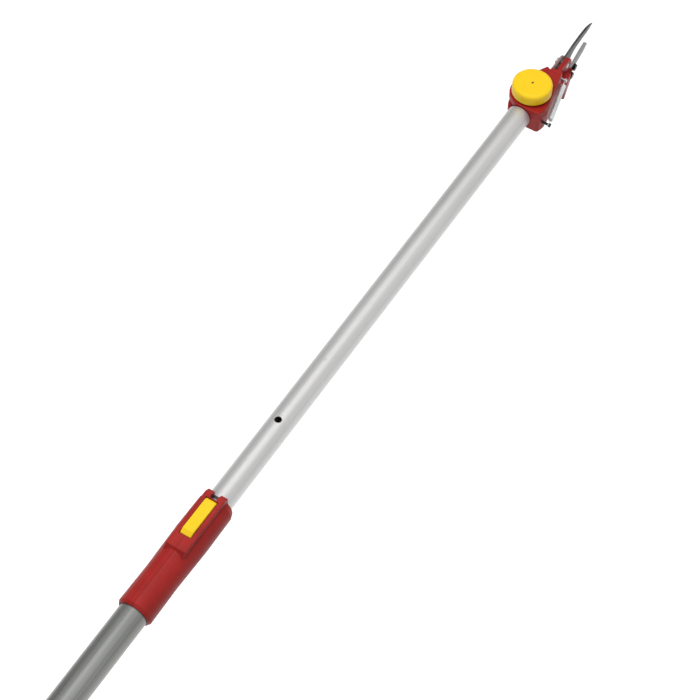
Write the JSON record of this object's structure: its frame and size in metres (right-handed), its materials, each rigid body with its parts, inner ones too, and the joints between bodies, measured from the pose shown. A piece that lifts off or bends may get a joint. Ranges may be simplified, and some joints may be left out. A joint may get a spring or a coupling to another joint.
{
  "type": "telescoping tree lopper",
  "caption": "Telescoping pole lopper: two aluminium tubes, grip with lock button, angle knob on a tilting head, and a sprung bypass cutting blade over a hook.",
  "frame": {"origin": "centre of the flat back of the pull handle, on the pole's axis", "axes": "+X along the pole towards the blades, +Z out of the angle knob's face, +Y to the left when looking along +X with the knob up"},
  "size_m": [2.9532, 0.132, 0.0885],
  "materials": {
    "aluminium": "drawn satin tube",
    "steel": "zinc-plated fasteners",
    "spring_steel": "plated spring wire",
    "blade_dark": "dark low-friction coating",
    "blade_grey": "bare hardened steel",
    "black_steel": "blackened",
    "plate": "mould grey-brown",
    "red": "satin moulding",
    "yellow": "satin moulding",
    "black": "satin moulding",
    "rubber": "matt",
    "strap": "woven webbing"
  },
  "bodies": {
    "pole": {"outer_tube": "aluminium", "mouth_bush": "black", "butt_cap": "black", "grip_shell_left": "red", "grip_shell_right": "red", "grip_screw_1": "steel", "grip_screw_2": "steel", "button_pin": "steel", "button_spring": "steel"},
    "lock": {"lock_button": "yellow", "brake_shoe": "rubber"},
    "inner_pole": {"inner_tube": "aluminium", "tube_rivet": "steel", "inner_tube_foot": "black", "swivel_tongue": "black", "spigot_pin": "steel"},
    "pull": {"pull_handle": "red", "pull_strap": "strap", "strap_pin": "steel"},
    "strap_upper": {"head_strap": "strap"},
    "pulley": {"strap_pulley": "black"},
    "head": {"head_housing": "red", "housing_lid": "red", "housing_screw_1": "steel", "housing_screw_2": "steel", "housing_screw_3": "steel", "swivel_bolt": "steel", "knob_washer": "black", "fork_plate": "plate", "pivot_bolt": "steel", "hook_blade": "blade_grey", "hook_bolt_1": "steel", "hook_nut_1": "black_steel", "hook_bolt_2": "steel", "hook_nut_2": "black_steel", "spring_screw": "black_steel"},
    "spring": {"return_spring": "spring_steel"},
    "spring_front": {"spring_hook": "spring_steel"},
    "knob": {"angle_knob": "yellow", "knob_plug": "black"},
    "blade": {"cutting_blade": "blade_dark", "spring_pin": "steel", "lever_pin": "steel"},
    "strap_end": {"blade_strap": "strap"}
  },
  "joints": [
    {"name": "extend", "type": "slide", "parent": "pole", "child": "inner_pole", "axis": [1, 0, 0], "range_m": [-0.745, 0.85]},
    {"name": "lock_press", "type": "hinge", "parent": "pole", "child": "lock", "pos_m": [1.917, 0, 0.0246], "axis": [0, 1, 0], "range_deg": [0, 4.5], "stiffness_Nm_per_rad": 4, "springref_deg": -1.72, "deforming": ["button_spring"]},
    {"name": "pull", "type": "slide", "parent": "pole", "child": "pull", "axis": [-1, 0, 0], "range_m": [0, 0.0185]},
    {"name": "strap_upper_run", "type": "slide", "parent": "inner_pole", "child": "strap_upper", "axis": [-1, 0, 0], "range_m": [0, 0.0185]},
    {"name": "pulley_spin", "type": "hinge", "parent": "inner_pole", "child": "pulley", "pos_m": [2.763, 0, 0], "axis": [0, 0, 1], "range_deg": [-110, 110]},
    {"name": "swivel", "type": "hinge", "parent": "inner_pole", "child": "head", "pos_m": [2.763, 0, 0], "axis": [0, 0, 1], "range_deg": [0, 120]},
    {"name": "knob_turn", "type": "hinge", "parent": "head", "child": "knob", "pos_m": [2.763, 0, 0], "axis": [0, 0, 1], "range_deg": [0, 90]},
    {"name": "blade_close", "type": "hinge", "parent": "head", "child": "blade", "pos_m": [2.862, 0, -0.0105], "axis": [0, 1, 0], "range_deg": [0, 40.05], "stiffness_Nm_per_rad": 3, "springref_deg": -20.05},
    {"name": "spring_turn", "type": "hinge", "parent": "head", "child": "spring", "pos_m": [2.74, -0.0434, -0.003], "axis": [0.2272, -0.9573, -0.1788], "range_deg": [0, 11.34]},
    {"name": "spring_stretch", "type": "slide", "parent": "spring", "child": "spring_front", "axis": [0.9737, 0.2202, 0.058], "range_m": [0, 0.01979]},
    {"name": "strap_end_run", "type": "slide", "parent": "head", "child": "strap_end", "axis": [-0.9221, 0, 0.387], "range_m": [0, 0.0185]}
  ],
  "couplings": [
    {"joint": "blade_close", "follows": "pull", "rad_per_m": 37.73},
    {"joint": "strap_upper_run", "follows": "pull", "ratio": 1},
    {"joint": "strap_end_run", "follows": "pull", "ratio": 1},
    {"joint": "spring_turn", "follows": "pull", "rad_per_m": 10.693},
    {"joint": "spring_stretch", "follows": "pull", "ratio": 1.0697},
    {"joint": "pulley_spin", "follows": "pull", "rad_per_m": -100}
  ]
}
